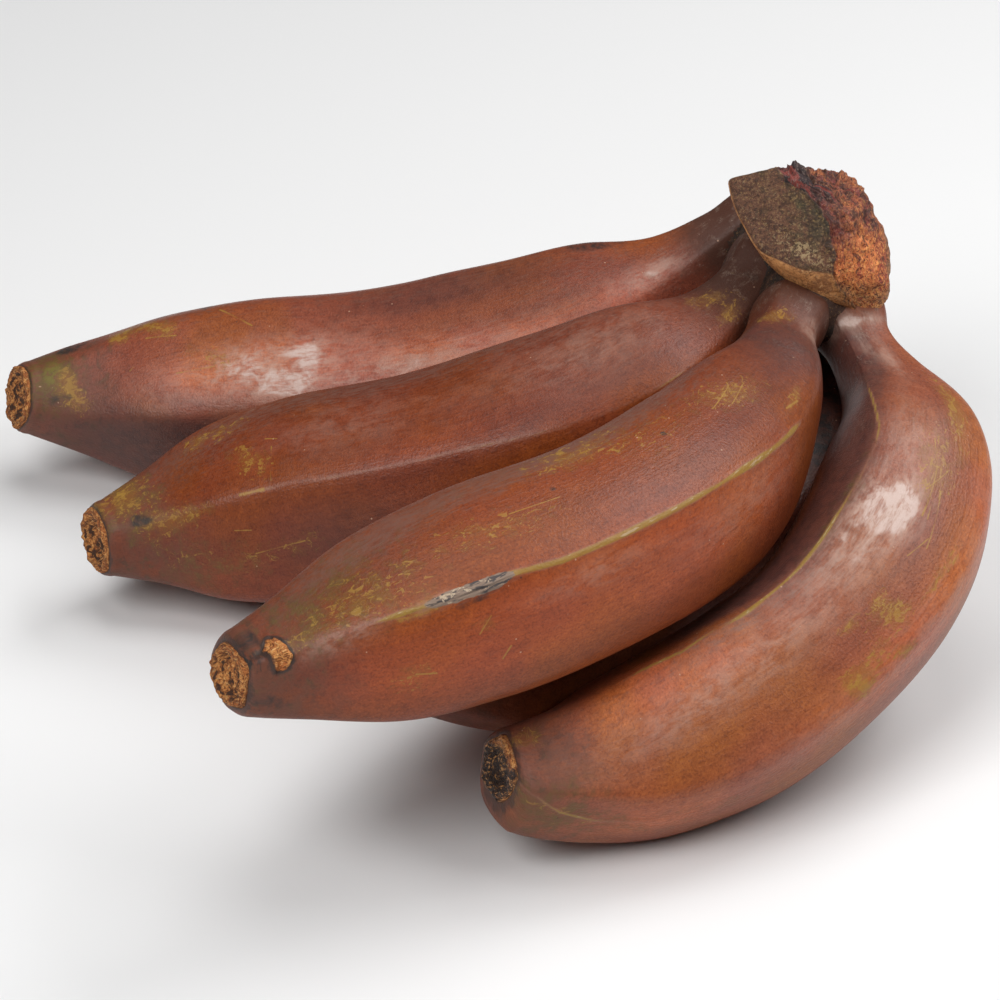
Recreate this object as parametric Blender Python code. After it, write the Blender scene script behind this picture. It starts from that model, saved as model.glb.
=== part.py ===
"""A hand of red bananas: five curled fingers that leave the underside of one cut crown.

It lies on the bellies of its fingers with the crown raised. Lengths in the tables below are
millimetres and angles are degrees. Shares run from 0 at a finger's root to 1 at its tip.
"""

import math
from dataclasses import dataclass

import bmesh
import bpy
import numpy as np
from mathutils import Euler

MM = 0.001
HAND = "red_banana_hand"

FULL_RADIUS = 21.0      # of a finger of girth 1 at its belly
CLEARANCE = 0.3         # between a neck and its socket in the crown
RIDGE = 0.025           # how far the five ridges stand out, as a share of the radius
SIDES = 20              # points round a finger
RINGS = 32              # sections along a finger
FINE_STEPS = 72         # steps in which a finger's curl is added up

LIFT_START = 0.62       # share of its length from which a finger is lifted
CUT_START = 0.88        # share of its length from which a finger leans into its cut end
SOCKET = 0.30           # share of its length up to which a neck may touch the crown
SOCKET_RINGS = 14       # sections along a socket's cutter
PEG = 0.04              # share of its length by which a neck runs on inside the crown

# How thick a finger is along its length: (share of its length, share of its full radius).
THICKNESS = (
    (-0.04, 0.24), (0.00, 0.38), (0.06, 0.35), (0.13, 0.46), (0.22, 0.79), (0.35, 0.97),
    (0.55, 0.99), (0.72, 1.00), (0.84, 0.85), (0.93, 0.56), (1.00, 0.37),
)
# Where the four values of a finger's turn hold: at its root, shoulder, belly and tip.
TURN_SHARES = (0.0, 0.2, 0.55, 1.0)


@dataclass
class Finger:
    """root: where it leaves the crown. bearing, dip, lean: its first heading, counted from +X
    towards +Y and downwards, and the lean of the plane it curls in. turn: how fast it curls at
    each turn share, per whole length. bow, sway: how far it bulges and snakes out of that plane.
    ridge: where round the finger the first of its ridges runs, from the inner side of the curl.
    lift: how far its tip is carried off. sag: the share of the lift by which its belly hangs the
    other way. cut: the angle round the finger towards which the tip's flat end looks, and how far
    it leans that way."""
    root: tuple
    bearing: float
    dip: float
    lean: float
    turn: tuple
    length: float
    girth: float
    bow: float
    sway: float
    ridge: float
    lift: tuple
    sag: float
    cut: tuple


FINGERS = {
    "banana_1": Finger((64, 74, 70), 182, 41, 8.5, (9, 89, 26, 4), 183, 1.02, 7, 1, -76,
                       (2, -11, 7), 0.12, (-63, 14)),
    "banana_2": Finger((64, 57, 66), 238, 15, 103.5, (86, 135, 53, -3), 173, 1.06, -2.5, -1.6, 11,
                       (2, -14, 9), 0.28, (-138, 13)),
    "banana_3": Finger((69, 35, 65), -112, 3.5, 101, (-16, 22, 121, 140), 179, 0.99, 2, -5, -13,
                       (2, -18, 12), 0.05, (-145, 24)),
    "banana_4": Finger((82, 42, 60), -72, 11.5, 108.5, (-9, 136, 137, 162), 177, 0.95, 2, -2.8, -77,
                       (0, -18, 13), 0.36, (-122, 22)),
    "banana_5": Finger((81, 61, 58), -86, 56, 55, (152, 157, 62, 15), 171, 0.95, 2, 1.2, 0,
                       (0, 0, 0), 0, (0, 0)),
}

CROWN_CENTRE = (72, 45, 78)
CROWN_EDGE = 14         # the higher, the sharper the edges between the crown's facets
# The crown's facets: the bearing and the rise of each one's outward normal, and its distance.
CROWN_FACETS = (
    (90, 57, 16.0),     # top
    (29, 36, 16.0),     # top right
    (0, 0, 17.6),       # right
    (16, 23, 15.0),     # right slope
    (-24, -32, 22.5),   # lower right
    (-90, -48, 15.8),   # low
    (-139, -36, 12.6),  # rim
    (-174, -10, 16.6),  # left
    (158, 30, 22.0),    # upper left
    (129, 50, 18.6),    # top slope
    (-118, 37, 11.5),   # panel
    (-31, 73, 13.5),    # fibre top
    (-33, 26, 14.0),    # fibre right
    (-68, 19, 12.5),    # fibre front
    (166, -59, 11.0),   # under
    (6, -75, 17.0),     # under right
    (90, -27, 24.0),    # back
    (43, -17, 21.0),    # back right
    (145, -8, 20.0),    # back left
    (90, 20, 19.0),     # back top
    (71, -62, 22.0),    # back low
)

# The cushion behind and below the cap, an ellipsoid whose far end is tilted up.
CUSHION_CENTRE = (74, 58, 66.5)
CUSHION_RADII = (13, 23, 11.5)
CUSHION_TILT = 16


def smooth_between(stations, shares):
    """Cubic curve through the stations, with each one's slope taken from its neighbours."""
    at, value = np.array(stations, float).T
    slope = np.gradient(value, at)
    k = np.clip(np.searchsorted(at, shares, side="right") - 1, 0, len(at) - 2)
    step = at[k + 1] - at[k]
    w = (shares - at[k]) / step
    return (
        (2 * w**3 - 3 * w**2 + 1) * value[k]
        + (w**3 - 2 * w**2 + w) * step * slope[k]
        + (3 * w**2 - 2 * w**3) * value[k + 1]
        + (w**3 - w**2) * step * slope[k + 1]
    )


def running_sum(values, steps):
    """Integral of the values up to each one, starting from zero."""
    return np.concatenate([[0.0], np.cumsum((values[1:] + values[:-1]) / 2 * steps)])


def spine(finger, shares):
    """Points along the finger's middle, its heading and its directions inward and sideways.

    The heading turns by the running integral of the turn, the middle follows the heading, and
    one sine wave over the whole length and one twice as fast carry it sideways. The lift grows
    as the square of the way past its start, less the sag, a squared sine of the share's square.
    Shares below 0 run straight back into the crown.
    """
    fine = np.linspace(0, 1, FINE_STEPS)
    steps = np.diff(fine)
    angle = running_sum(np.radians(np.interp(fine, TURN_SHARES, finger.turn)), steps)
    ahead = running_sum(np.cos(angle), steps * finger.length)
    inward = running_sum(np.sin(angle), steps * finger.length)
    aside = finger.bow * np.sin(np.pi * fine) + finger.sway * np.sin(2 * np.pi * fine)

    turned = np.array(Euler(np.radians((finger.lean, finger.dip, finger.bearing))).to_matrix())
    middle = np.stack([ahead, aside, inward], 1) @ turned.T + finger.root
    lifting = np.clip((fine - LIFT_START) / (1 - LIFT_START), 0, 1)
    sagging = finger.sag * np.sin(np.pi * fine**2) ** 2
    middle += (lifting**2 - sagging)[:, None] * finger.lift
    heading = np.gradient(middle, axis=0)
    heading /= np.linalg.norm(heading, axis=1, keepdims=True)
    across = np.stack([-np.sin(angle), 0 * angle, np.cos(angle)], 1) @ turned.T
    across -= heading * np.sum(across * heading, axis=1, keepdims=True)
    across /= np.linalg.norm(across, axis=1, keepdims=True)

    def at_shares(rows):
        return np.stack([np.interp(shares, fine, column) for column in rows.T], 1)

    middle, heading, across = at_shares(middle), at_shares(heading), at_shares(across)
    middle += heading * np.minimum(shares, 0)[:, None] * finger.length
    return middle, heading, across, np.cross(heading, across)


def sections(finger, shares, swell=0.0):
    """Rings of points round the finger, each a circle with five soft ridges.

    Towards the tip they lean into the cut: each point moves along the heading by how far it
    lies to the cut's side, times the tangent of its lean.
    """
    middle, heading, across, sideways = spine(finger, shares)
    around = np.arange(SIDES) * 2 * np.pi / SIDES
    radius = FULL_RADIUS * finger.girth * smooth_between(THICKNESS, shares) + swell
    ridged = 1 + RIDGE * np.cos(5 * (around - math.radians(finger.ridge)))
    reach = radius[:, None, None] * ridged[None, :, None]
    turned = (
        np.cos(around)[None, :, None] * across[:, None, :]
        + np.sin(around)[None, :, None] * sideways[:, None, :]
    )
    side, lean = np.radians(finger.cut)
    leaning = np.clip((shares - CUT_START) / (1 - CUT_START), 0, 1)[:, None, None] ** 2
    push = -math.tan(lean) * leaning * reach * np.cos(around - side)[None, :, None]
    return middle[:, None, :] + reach * turned + push * heading[:, None, :]


def loft(name, rings):
    """A closed skin over rings of equal point counts, with a flat face on each end ring."""
    body = bmesh.new()
    rows = [[body.verts.new(point * MM) for point in ring] for ring in rings]
    for here, following in zip(rows, rows[1:]):
        for k in range(len(here)):
            after = (k + 1) % len(here)
            body.faces.new((here[k], here[after], following[after], following[k]))
    body.faces.new(rows[0][::-1])
    body.faces.new(rows[-1])
    bmesh.ops.recalc_face_normals(body, faces=body.faces)
    return as_mesh(name, body)


def direction(bearing, rise):
    """Unit vector at a bearing from +X towards +Y and a rise above the level."""
    b, r = math.radians(bearing), math.radians(rise)
    return np.array((math.cos(r) * math.cos(b), math.cos(r) * math.sin(b), math.sin(r)))


def ball(subdivisions):
    """A round ball of radius 1."""
    body = bmesh.new()
    bmesh.ops.create_icosphere(body, subdivisions=subdivisions, radius=1.0)
    return body


def as_mesh(name, body):
    """The mesh of a body that is built up point by point."""
    mesh = bpy.data.meshes.new(name)
    body.to_mesh(mesh)
    body.free()
    return mesh


def cap_mesh():
    """A ball whose points are drawn in to the facets.

    Each facet would hold a point at its distance over the cosine from its normal. The inverse
    distances are added as a high power norm, so that the nearest facet rules and edges are round.
    """
    normals = np.array([direction(bearing, rise) for bearing, rise, _ in CROWN_FACETS])
    distances = np.array([distance for _, _, distance in CROWN_FACETS], float)
    body = ball(4)
    for vertex in body.verts:
        ray = np.array(vertex.co) / np.linalg.norm(vertex.co)
        pull = np.clip(normals @ ray, 0, None) / distances
        reach = np.sum(pull**CROWN_EDGE) ** (-1 / CROWN_EDGE)
        vertex.co = (np.array(CROWN_CENTRE) + ray * reach) * MM
    return as_mesh("crown", body)


def cushion_mesh():
    """A ball stretched to the cushion's radii and tilted."""
    body = ball(3)
    turn = np.array(Euler((math.radians(CUSHION_TILT), 0, 0)).to_matrix())
    for vertex in body.verts:
        stretched = np.array(vertex.co) * CUSHION_RADII
        vertex.co = (np.array(CUSHION_CENTRE) + turn @ stretched) * MM
    return as_mesh("cushion", body)


def finish(name, colour, roughness):
    """A plain Principled finish."""
    material = bpy.data.materials.new(name)
    material.use_nodes = True
    shader = material.node_tree.nodes["Principled BSDF"]
    shader.inputs["Base Color"].default_value = (*colour, 1.0)
    shader.inputs["Roughness"].default_value = roughness
    shader.inputs["Metallic"].default_value = 0.0
    return material


def add(name, mesh, collection, material=None):
    """Put a mesh into the scene as a named object, shaded smooth."""
    thing = bpy.data.objects.new(name, mesh)
    collection.objects.link(thing)
    if material:
        mesh.materials.append(material)
    mesh.shade_smooth()
    mesh.set_sharp_from_angle(angle=math.radians(40))
    return thing


def socket_mesh(finger):
    """The finger's neck, swollen by the clearance, which cuts its socket into the crown."""
    deepest = -PEG - CLEARANCE / finger.length
    rings = sections(finger, np.linspace(deepest, SOCKET, SOCKET_RINGS), swell=CLEARANCE)
    return loft("socket", rings)


def shape_with(body, operation, tool):
    """Join a hidden tool to the body, or cut the body with it."""
    tool.hide_render = True
    tool.display_type = "WIRE"
    step = body.modifiers.new(tool.name, "BOOLEAN")
    step.operation = operation
    step.solver = "EXACT"
    step.object = tool


def main():
    for leftover in list(bpy.data.objects):
        bpy.data.objects.remove(leftover)
    hand = bpy.data.collections.new(HAND)
    cutters = bpy.data.collections.new("cutters")
    bpy.context.scene.collection.children.link(hand)
    bpy.context.scene.collection.children.link(cutters)

    crown = add("crown", cap_mesh(), hand, finish("crown_bark", (0.13, 0.07, 0.04), 0.8))
    shape_with(crown, "UNION", add("cushion", cushion_mesh(), cutters))
    for name, finger in FINGERS.items():
        rings = sections(finger, np.linspace(-PEG, 1, RINGS))
        add(name, loft(name, rings), hand, finish(f"{name}_skin", (0.28, 0.09, 0.05), 0.4))
        shape_with(crown, "DIFFERENCE", add(f"{name}_socket", socket_mesh(finger), cutters))


main()
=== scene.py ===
"""Looks of a hand of red bananas: five curled fingers on one cut crown, lying on a pale floor.

Tables give lengths in millimetres and angles in degrees. A place on a finger is its share of the
length, from 0 at the root to 1 at the tip, and the angle round it from the inner side of its curl.
"""

import math
from dataclasses import dataclass

import bpy
import numpy as np
from mathutils import Euler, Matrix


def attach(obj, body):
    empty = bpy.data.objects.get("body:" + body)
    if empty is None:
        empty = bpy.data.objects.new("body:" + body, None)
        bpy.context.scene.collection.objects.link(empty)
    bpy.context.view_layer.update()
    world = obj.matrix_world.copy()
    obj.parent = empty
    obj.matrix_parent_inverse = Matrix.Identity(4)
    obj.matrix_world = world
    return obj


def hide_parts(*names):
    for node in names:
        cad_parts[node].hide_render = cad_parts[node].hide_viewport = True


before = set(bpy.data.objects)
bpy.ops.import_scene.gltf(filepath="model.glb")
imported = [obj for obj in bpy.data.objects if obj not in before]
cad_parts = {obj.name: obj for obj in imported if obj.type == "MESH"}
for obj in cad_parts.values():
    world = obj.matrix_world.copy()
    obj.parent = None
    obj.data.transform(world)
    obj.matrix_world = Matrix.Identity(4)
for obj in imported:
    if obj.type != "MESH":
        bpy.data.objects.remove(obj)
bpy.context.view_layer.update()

MM = 0.001

# ---- the fingers' own measures

FULL_RADIUS = 21.0      # of a finger of girth 1 at its belly
PEG = 0.04              # share of its length by which a neck runs on inside the crown
LIFT_START = 0.62       # share of its length from which a finger is lifted
CUT_START = 0.88        # share of its length from which a finger leans into its cut end
FINE_STEPS = 241        # places along a finger at which its curl is added up
FLARED = (-0.02, 0.09)  # shares over which a flared root thins out again
BLUNTED = (0.86, 0.99)  # shares over which a blunt tip thickens
NUDGED = (0.06, 0.1)    # middle share and spread of the part of a neck that is moved
SWOLLEN = (0.15, 0.05)  # middle share and spread of the part past a neck that swells
CORNER_POWER = 12       # the higher, the sharper the corners of a finger's section
SECTION_TRIM = 1.055    # keeps a five-sided section as thick as a round one
LUMP_HEIGHT, LUMP_GRAIN = 0.45, 34.0
DIMPLE_HEIGHT, DIMPLE_GRAIN = 0.14, 11.0
LUMPY_RADIUS = 20       # from which up a finger has its lumps at their full height
KEEL_HEIGHT = 0.25
KEEL_FADING, KEEL_GRAIN = 0.45, 5.0
SCAB_HEIGHT, CORK_HEIGHT, CRUST_GRAIN = 1.4, 0.3, 1.7
SCAR_WOBBLE, SCAR_WOBBLE_GRAIN = 0.06, 5.0
SCAR_HEIGHT, SCAR_GRAIN, SCAR_FINE_GRAIN = 0.5, 3.2, 1.3

# How thick a finger is along its length: (share of its length, share of its full radius).
THICKNESS = (
    (-0.04, 0.24), (0.0, 0.38), (0.06, 0.35), (0.13, 0.46), (0.22, 0.79), (0.35, 0.97),
    (0.55, 0.99), (0.72, 1.0), (0.84, 0.85), (0.93, 0.56), (1.0, 0.37),
)
# How angular its section is along its length, from 0 for a circle to 1 for five flat sides.
ANGULAR = (
    (-0.04, 0.2), (0.06, 0.6), (0.2, 0.6), (0.5, 0.5), (0.8, 0.6), (0.93, 0.7), (1.0, 0.3),
)
TURN_SHARES = (0.0, 0.2, 0.55, 1.0)


@dataclass
class Finger:
    """root: where it leaves the crown. bearing, dip, lean: its first heading, counted from +X
    towards +Y and downwards, and the lean of the plane it curls in. turn: how fast it curls at
    each turn share, per whole length. bow, sway: how far it bulges and snakes out of that plane.
    corners: the angles of its five soft edges. lift: how far its tip is carried off. sag: the
    share of the lift by which its belly hangs the other way. cut: the angle round the finger
    towards which the scar at the tip looks, and how far it leans that way."""
    root: tuple
    bearing: float
    dip: float
    lean: float
    turn: tuple
    length: float
    girth: float
    bow: float
    sway: float
    corners: tuple
    lift: tuple
    sag: float
    cut: tuple
    seed: int
    tint: tuple             # by which its skin's colours are multiplied
    neck: float             # how far its neck darkens
    scar: float             # radius of its scar as a share of the tip's
    offset: tuple = (0, 0)  # angle round the tip and length by which the scar sits off its middle
    end: float = 1.0        # share of its length at which the skin rounds over into the scar
    bulge: float = 1.0      # how far it rounds out there
    blunt: float = 0.0      # how much thicker its last eighth is
    flare: float = 0.0      # how much thicker its root is
    char: float = 0.0       # how black its scar is
    neck_ends: tuple = (0.08, 0.22)     # shares over which its neck's dark skin fades out
    nudge: tuple = (0, 0, 0)            # by which its neck is moved
    swell: float = 0.0      # how much thicker it is past its neck
    # (share, degrees) by which its edges wind away from those angles
    twist: tuple = ((0, 0), (1, 0))
    rows: int = 330
    sides: int = 192
    # patches: (share, angle, half length, half width, strength, turn if it has one) of each
    # wax patches are partly real waxy skin and partly painted highlights and painted sheen
    wax_and_highlight: tuple = ()
    fleck: tuple = ()
    bruise: tuple = ()
    # bloom patches are partly the skin's grey bloom and partly painted sheen and painted rim light
    bloom_and_sheen: tuple = ()
    # tone patches are partly the skin's own uneven colour and partly painted light and painted
    # shade
    tone: tuple = ()
    olive: tuple = ()
    cork: tuple = ()
    dent: tuple = ()
    scab: tuple = ()
    # lines: ((share, angle), ...) along each, its half width, its strength
    keels: tuple = ()
    # (share, angle, share, angle, half width) of each scratch
    scratches: tuple = ()


FINGERS = {}
FINGERS["banana_1"] = Finger(
    (64, 74, 70), 182, 41, 8.5, (9, 89, 26, 4), 183, 1.02, 7, 1, (-76, -4, 68, 140, 212),
    (2, -11, 7), 0.12, (-63, 14), seed=3, tint=(1.16, 0.95, 0.84), neck=0.95, scar=0.86,
    flare=-0.25, blunt=0.04, neck_ends=(0.07, 0.14),
    twist=((0, 10), (0.5, 4), (0.73, 0), (0.88, -8), (0.95, -15), (1, -16)),
    wax_and_highlight=(
        (0.62, -61, 7, 4, 0.7), (0.6, -43, 4, 3, 0.8, 20), (0.7, -50, 8, 5, 0.5, -10),
        (0.66, -42, 17, 4, 0.38, -8), (0.5, -64, 14, 5, 0.3), (0.6, -58, 28, 9, 0.35),
        (0.38, -62, 24, 6, 0.3), (0.15, -54, 9, 3.5, 0.6), (0.66, -60, 5, 3, 0.4),
        (0.8, -60, 14, 5, 0.2),
    ),
    fleck=(
        (0.875, -6, 3, 4, 1.1), (0.89, -9, 2, 2, 1.0), (0.84, -8, 5, 2.5, 1.0, 30),
        (0.81, -16, 3, 2.5, 0.9), (0.965, -38, 2.5, 2, 1.2), (0.955, -50, 2, 2, 1.1),
        (0.96, -62, 5, 2, 0.7, 20), (0.76, -36, 10, 5, 0.35), (0.95, -75, 6, 3, 0.7),
        (0.73, -44, 5, 4, 0.4),
    ),
    bruise=(
        (0.95, 3, 5, 4, 1.0), (0.985, -74, 2, 2, 0.7), (0.755, 3, 4, 2.5, 0.9),
        (0.82, 4, 4, 3, 0.6), (0.21, 2, 10, 4, 0.9), (0.962, -67, 4, 1.8, 0.7, 10),
        (0.05, -45, 7, 9, 0.5),
    ),
    bloom_and_sheen=((0.55, 2, 60, 6, 0.5), (0.85, 0, 20, 6, 0.5), (0.25, -30, 20, 10, 0.4)),
    tone=(
        (0.78, -56, 14, 6, 0.7), (0.66, -60, 22, 7, 0.7), (0.64, -38, 20, 5, 0.5),
        (0.47, -62, 26, 8, 1.2), (0.33, -62, 18, 5, 0.5), (0.18, -60, 10, 5, 0.8),
        (0.42, -12, 34, 9, -0.7), (0.84, -112, 26, 13, -1.2), (0.66, -108, 26, 11, -1.2),
    ),
    olive=((0.97, -40, 8, 9, 0.6), (0.985, -32, 3.5, 4, 1.0)),
    dent=((0.935, 10, 11, 6, 1.2),),
    keels=((((0.62, -72), (0.73, -76), (0.88, -84), (0.95, -91)), 0.5, 0.25),),
    scratches=((0.87, -44, 0.81, -17, 0.3), (0.734, -6, 0.683, -21, 0.35),
               (0.845, -20, 0.8, -22, 0.25), (0.8, -50, 0.74, -47, 0.2)),
)
FINGERS["banana_2"] = Finger(
    (64, 57, 66), 238, 15, 103.5, (86, 135, 53, -3), 173, 1.06, -2.5, -1.6,
    (-133, -61, 11, 83, 155), (2, -14, 9), 0.28, (-138, 13), seed=5,
    tint=(0.91, 0.62, 0.38), neck=0.95, scar=0.86, end=0.995, neck_ends=(0.08, 0.19),
    twist=((0, -20), (0.2, -17), (0.37, -9), (0.5, -2), (0.75, 2), (0.95, 5), (1, 5)),
    wax_and_highlight=((0.3, -100, 24, 8, 0.25), (0.62, -100, 20, 8, 0.2)),
    fleck=(
        (0.77, -109, 9, 5, 0.75, 30), (0.8, -74, 7, 3, 0.7), (0.85, -69, 4, 3, 0.7),
        (0.975, -74, 6, 5, 0.9), (0.8, -172, 12, 4, 0.5), (0.7, -166, 8, 3, 0.5),
        (0.125, -105, 6, 3.5, 0.8, 20), (0.125, -138, 4, 2.0, 0.9), (0.945, -110, 9, 9, 0.5),
        (0.89, -132, 9, 2, 0.8), (0.91, -165, 10, 8, 0.35),
    ),
    bruise=(
        (0.965, -122, 3, 1.8, 0.9), (0.94, -127, 5, 1.0, 0.5), (0.96, -170, 3, 2, 0.6),
        (0.06, -130, 5, 6, 0.5),
    ),
    bloom_and_sheen=((0.7, -68, 50, 5, 0.8), (0.35, -70, 30, 6, 0.5), (0.85, -90, 16, 8, 0.4)),
    tone=(
        (0.28, -105, 26, 14, -0.35), (0.08, -110, 10, 14, -0.6), (0.64, -165, 26, 10, -0.5),
        (0.5, -128, 20, 5, 0.5), (0.86, -168, 16, 10, 0.2),
    ),
    olive=((0.96, -90, 8, 8, 0.5), (0.84, -176, 18, 8, 0.5)),
    keels=((((0.2, -150), (0.28, -147), (0.37, -142), (0.46, -136), (0.55, -134), (0.75, -131),
             (0.84, -129)), 0.75, 0.55),
           (((0.68, -66), (0.86, -62)), 0.8, 0.4)),
    scratches=((0.73, -104, 0.736, -127, 0.3), (0.799, -130, 0.752, -131, 0.5),
               (0.74, -96, 0.72, -99, 0.2), (0.79, -168, 0.7, -165, 0.25),
               (0.82, -150, 0.79, -152, 0.2)),
)
FINGERS["banana_3"] = Finger(
    (69, 35, 65), -112, 3.5, 101, (-16, 22, 121, 140), 179, 0.99, 2, -5,
    (-147, -75, -3, 69, 141), (2, -18, 12), 0.05, (-145, 24), seed=8,
    tint=(0.98, 0.69, 0.35), neck=0.85, scar=0.7, end=0.985, blunt=0.06, flare=0.05,
    neck_ends=(0.01, 0.08), nudge=(-1.0, 0, 0.4), swell=0.12,
    twist=((0, -14), (0.26, -11), (0.41, -4), (0.6, 0), (0.72, 4), (0.85, 6), (1, 8)),
    wax_and_highlight=(
        (0.4, -172, 20, 6, 0.25), (0.062, -160, 5, 2.5, 0.7), (0.62, -160, 12, 3, 0.3),
        (0.9, -143, 9, 2, 0.5), (0.79, -142, 4, 1.2, 0.8),
    ),
    bloom_and_sheen=((0.62, -80, 45, 5, 1.0), (0.85, -85, 18, 6, 0.6), (0.35, -80, 30, 5, 0.5)),
    fleck=(
        (0.31, -112, 11, 5, 0.9, 20), (0.56, -86, 12, 4, 0.8), (0.7, -115, 16, 5, 0.6, 10),
        (0.83, -127, 12, 6, 0.55), (0.87, -112, 10, 6, 0.35), (0.74, -165, 4, 2, 0.5, 30),
        (0.82, 177, 5, 4, 0.7), (0.24, -147, 7, 1.2, 0.9), (0.075, -92, 3.5, 3.5, 0.9),
        (0.055, -112, 2.5, 2.5, 0.6), (0.795, -143, 4, 1.4, 1.3), (0.935, -132, 6, 2, 0.6),
        (0.47, -104, 16, 7, 0.4),
    ),
    cork=((0.757, -143, 8, 1.35, 1.4, 2), (0.722, -144, 3, 1.0, 1.3, -4)),
    bruise=(
        (0.745, -149, 8, 0.8, 0.8), (0.972, 170, 5, 3, 0.8), (0.982, -100, 1.5, 4, 0.9),
        (0.953, -125, 3, 1.6, 0.9), (0.45, -106, 1, 1, 1.2), (0.61, -105, 1, 1, 1.1),
    ),
    tone=(
        (0.72, -172, 26, 10, 1.0), (0.55, -174, 24, 9, 0.8), (0.4, -170, 22, 8, 0.8),
        (0.86, -170, 14, 8, 0.5), (0.12, -120, 16, 16, -0.8), (0.86, -105, 22, 12, -0.5),
        (0.3, -110, 24, 12, -0.3),
    ),
    olive=((0.87, -112, 18, 11, 0.6), (0.62, -80, 30, 5, 0.3)),
    dent=((0.964, -137, 4.0, 3.4, 2.1), (0.125, -172, 12, 8, 2.6), (0.115, -118, 10, 9, 1.8)),
    scab=((0.968, -128, 2.4, 2.5, 1.6, 20), (0.96, -141, 2.6, 2.0, 1.5, -20)),
    keels=((((0.26, -158), (0.41, -151), (0.48, -149), (0.56, -148), (0.65, -147), (0.71, -143),
             (0.8, -142), (0.86, -140)), 0.8, 1.1),),
    scratches=((0.735, -160, 0.75, -168, 0.25), (0.72, 178, 0.73, 172, 0.3),
               (0.24, -150, 0.27, -146, 0.35), (0.33, -118, 0.28, -114, 0.2),
               (0.36, -112, 0.3, -108, 0.2), (0.67, -110, 0.61, -112, 0.2),
               (0.8, 176, 0.82, 179, 0.25)),
)
FINGERS["banana_4"] = Finger(
    (82, 42, 60), -72, 11.5, 108.5, (-9, 136, 137, 162), 177, 0.95, 2, -2.8,
    (-80, -10, 52, 118, 197), (0, -18, 13), 0.36, (-122, 22), seed=13,
    tint=(1.23, 1.12, 0.92), neck=0.35, scar=0.6, offset=(-60, 2.4), end=0.973, bulge=0.9,
    blunt=0.18, char=1.0, flare=0.15, nudge=(-2.2, 0, 0), neck_ends=(0.02, 0.1),
    twist=((0, 8), (0.16, 8), (0.29, -2), (0.5, 0), (0.75, 0), (0.84, 6), (0.91, 20), (1, 34)),
    wax_and_highlight=(
        (0.405, -107, 7, 5.5, 1.35), (0.6, -107, 36, 6, 0.34), (0.3, -106, 10, 6, 0.3),
        (0.07, -90, 6, 1.2, 0.6), (0.47, -100, 12, 5, 0.4), (0.22, -98, 10, 4, 0.1),
        (0.045, -95, 1.6, 7, 1.1), (0.78, -115, 20, 5, 0.25), (0.45, -88, 20, 3, 0.35),
        (0.12, -112, 8, 2, 0.5), (0.46, -168, 42, 5, 0.32),
    ),
    fleck=(
        (0.508, -131, 2.2, 2, 1.0), (0.502, -144, 2.6, 2.4, 1.2), (0.553, -128, 2.6, 1.2, 0.9),
        (0.53, -142, 5, 4, 0.5, 40), (0.56, -152, 4, 2, 0.7), (0.583, -156, 3.5, 2, 1.1, 30),
        (0.581, -163, 2.6, 2.4, 1.0), (0.527, -163, 3.5, 1.6, 1.0, 20),
        (0.3, -120, 10, 5, 0.5), (0.235, -141, 11, 2.5, 1.1), (0.35, -126, 8, 5, 0.6),
        (0.44, -152, 8, 1.5, 0.8), (0.95, -155, 8, 1.6, 0.5, 20), (0.9, -178, 14, 2, 0.5),
        (0.97, -70, 4, 3, 0.8),
    ),
    bruise=((0.99, -122, 2, 8, 0.5), (0.26, -66, 2, 1.5, 0.6)),
    bloom_and_sheen=(
        (0.62, -84, 40, 4, 0.6), (0.15, -66, 12, 4, 0.5), (0.27, -66, 6, 3, 0.6),
        (0.55, 175, 50, 6, 0.4), (0.94, -90, 10, 8, 0.6),
    ),
    tone=(
        (0.83, -80, 16, 6, 0.9), (0.72, -97, 24, 8, 0.5), (0.86, -178, 18, 8, 0.9),
        (0.46, -168, 44, 6.5, 1.1), (0.12, -42, 18, 9, -1.2), (0.28, -56, 20, 8, -1.3),
        (0.42, -60, 20, 7, -1.3), (0.56, -60, 18, 6.5, -1.2), (0.68, -62, 14, 5, -0.9),
        (0.1, -75, 8, 3, -0.6),
    ),
    olive=((0.93, -160, 12, 7, 0.5), (0.78, 170, 26, 6, 0.4), (0.45, -77, 26, 2.5, 0.5)),
    keels=((((0.16, -70), (0.29, -83), (0.38, -80), (0.45, -78), (0.54, -80), (0.64, -82),
             (0.745, -80), (0.84, -70)), 0.6, 0.8),
           (((0.44, -78), (0.54, -80), (0.66, -82)), 0.6, 0.5),
           (((0.05, -72), (0.1, -71), (0.16, -70)), 0.8, 0.25),
           (((0.82, 174), (0.9, -174), (0.94, -159), (0.96, -147), (0.985, -130)), 0.9, 0.95)),
    scratches=((0.29, -120, 0.4, -128, 0.2), (0.33, -124, 0.4, -124, 0.3),
               (0.33, -132, 0.36, -122, 0.2), (0.45, -128, 0.42, -134, 0.2),
               (0.36, -130, 0.43, -136, 0.25)),
)
FINGERS["banana_5"] = Finger(
    (81, 61, 58), -86, 56, 55, (152, 157, 62, 15), 171, 0.95, 2, 1.2, (0, 72, 144, 216, 288),
    (0, 0, 0), 0, (0, 0), seed=21,
    tint=(1.0, 0.85, 0.8), neck=0.8, scar=0.85, rows=240, sides=144,
    fleck=((0.6, 90, 14, 8, 0.8), (0.35, 160, 14, 8, 0.8), (0.8, 20, 10, 8, 0.7)),
    bruise=((0.22, -46, 24, 10, 1.5),),
    wax_and_highlight=((0.5, 120, 20, 8, 0.6), (0.3, 60, 16, 8, 0.5)),
)

# ---- surfaces


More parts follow.
